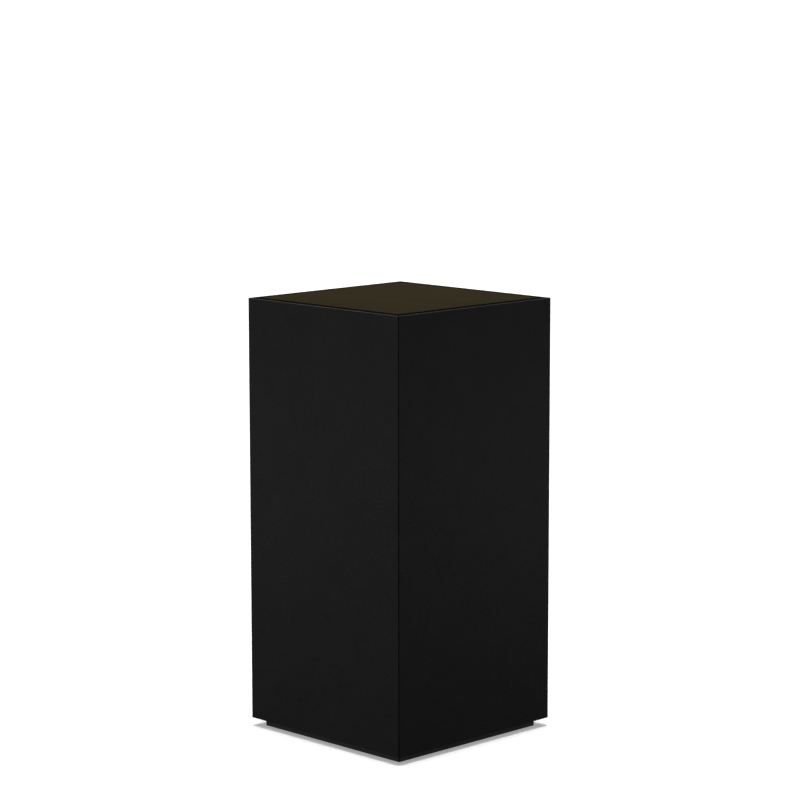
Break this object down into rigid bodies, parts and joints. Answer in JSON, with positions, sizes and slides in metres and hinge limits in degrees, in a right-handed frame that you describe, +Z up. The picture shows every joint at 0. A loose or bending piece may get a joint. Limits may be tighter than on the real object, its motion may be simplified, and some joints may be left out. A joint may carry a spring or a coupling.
{
  "type": "display plinth",
  "caption": "Square black display plinth with a recessed base, an inset lift-out bronze deck behind a shadow gap, and hidden levelling feet.",
  "frame": {"origin": "on the floor, at the centre of the square footprint", "axes": "+Z up; the walls face -Y (front), +X (right), +Y (back) and -X (left)"},
  "size_m": [0.445, 0.445, 0.915],
  "materials": {
    "shell_black": "fibreboard with a matte black, finely pebbled coating",
    "toe_kick_black": "fibreboard, smooth matte black",
    "deck_bronze": "satin olive-bronze laminate sheet",
    "deck_board_black": "fibreboard with edges painted matte black",
    "fibreboard": "raw medium-density fibreboard",
    "softwood": "planed pine",
    "plywood": "birch plywood",
    "dowel_beech": "turned beech",
    "rubber_black": "matte rubber",
    "zinc_steel": "bright zinc-plated steel",
    "yellow_zinc": "yellow zinc-plated steel",
    "nylon_black": "moulded black nylon"
  },
  "bodies": {
    "plinth": {"wall_front": "shell_black", "deck_cleat_front": "softwood", "mid_rail_front": "softwood", "toe_kick_front": "toe_kick_black", "wall_right": "shell_black", "deck_cleat_right": "softwood", "mid_rail_right": "softwood", "toe_kick_right": "toe_kick_black", "wall_back": "shell_black", "deck_cleat_back": "softwood", "mid_rail_back": "softwood", "toe_kick_back": "toe_kick_black", "wall_left": "shell_black", "deck_cleat_left": "softwood", "mid_rail_left": "softwood", "toe_kick_left": "toe_kick_black", "mitre_spline_front_right": "plywood", "corner_post_front_right": "softwood", "toe_kick_block_front_right": "plywood", "mitre_spline_back_right": "plywood", "corner_post_back_right": "softwood", "toe_kick_block_back_right": "plywood", "mitre_spline_back_left": "plywood", "corner_post_back_left": "softwood", "toe_kick_block_back_left": "plywood", "mitre_spline_front_left": "plywood", "corner_post_front_left": "softwood", "toe_kick_block_front_left": "plywood", "bottom_board": "fibreboard", "deck_pads": "rubber_black", "deck_pins": "dowel_beech", "foot_inserts": "zinc_steel", "cleat_screws": "yellow_zinc", "rail_screws": "yellow_zinc", "board_screws": "yellow_zinc"},
    "deck": {"deck_core": "deck_board_black", "deck_facing": "deck_bronze"},
    "pad_front_right": {"foot_pad_front_right": "nylon_black"},
    "stem_front_right": {"foot_stem_front_right": "zinc_steel"},
    "pad_back_right": {"foot_pad_back_right": "nylon_black"},
    "stem_back_right": {"foot_stem_back_right": "zinc_steel"},
    "pad_back_left": {"foot_pad_back_left": "nylon_black"},
    "stem_back_left": {"foot_stem_back_left": "zinc_steel"},
    "pad_front_left": {"foot_pad_front_left": "nylon_black"},
    "stem_front_left": {"foot_stem_front_left": "zinc_steel"}
  },
  "joints": [
    {"name": "deck_lift", "type": "slide", "parent": "plinth", "child": "deck", "axis": [0, 0, 1], "range_m": [0, 0.1]},
    {"name": "pad_wind_front_right", "type": "slide", "parent": "plinth", "child": "pad_front_right", "axis": [0, 0, -1], "range_m": [0, 0.01]},
    {"name": "stem_turn_front_right", "type": "hinge", "parent": "pad_front_right", "child": "stem_front_right", "pos_m": [0.1495, -0.1495, 0], "axis": [0, 0, -1], "range_deg": [0, 2880]},
    {"name": "pad_wind_back_right", "type": "slide", "parent": "plinth", "child": "pad_back_right", "axis": [0, 0, -1], "range_m": [0, 0.01]},
    {"name": "stem_turn_back_right", "type": "hinge", "parent": "pad_back_right", "child": "stem_back_right", "pos_m": [0.1495, 0.1495, 0], "axis": [0, 0, -1], "range_deg": [0, 2880]},
    {"name": "pad_wind_back_left", "type": "slide", "parent": "plinth", "child": "pad_back_left", "axis": [0, 0, -1], "range_m": [0, 0.01]},
    {"name": "stem_turn_back_left", "type": "hinge", "parent": "pad_back_left", "child": "stem_back_left", "pos_m": [-0.1495, 0.1495, 0], "axis": [0, 0, -1], "range_deg": [0, 2880]},
    {"name": "pad_wind_front_left", "type": "slide", "parent": "plinth", "child": "pad_front_left", "axis": [0, 0, -1], "range_m": [0, 0.01]},
    {"name": "stem_turn_front_left", "type": "hinge", "parent": "pad_front_left", "child": "stem_front_left", "pos_m": [-0.1495, -0.1495, 0], "axis": [0, 0, -1], "range_deg": [0, 2880]}
  ],
  "couplings": [
    {"joint": "stem_turn_front_right", "follows": "pad_wind_front_right", "rad_per_m": 5026.5},
    {"joint": "stem_turn_back_right", "follows": "pad_wind_back_right", "rad_per_m": 5026.5},
    {"joint": "stem_turn_back_left", "follows": "pad_wind_back_left", "rad_per_m": 5026.5},
    {"joint": "stem_turn_front_left", "follows": "pad_wind_front_left", "rad_per_m": 5026.5}
  ]
}
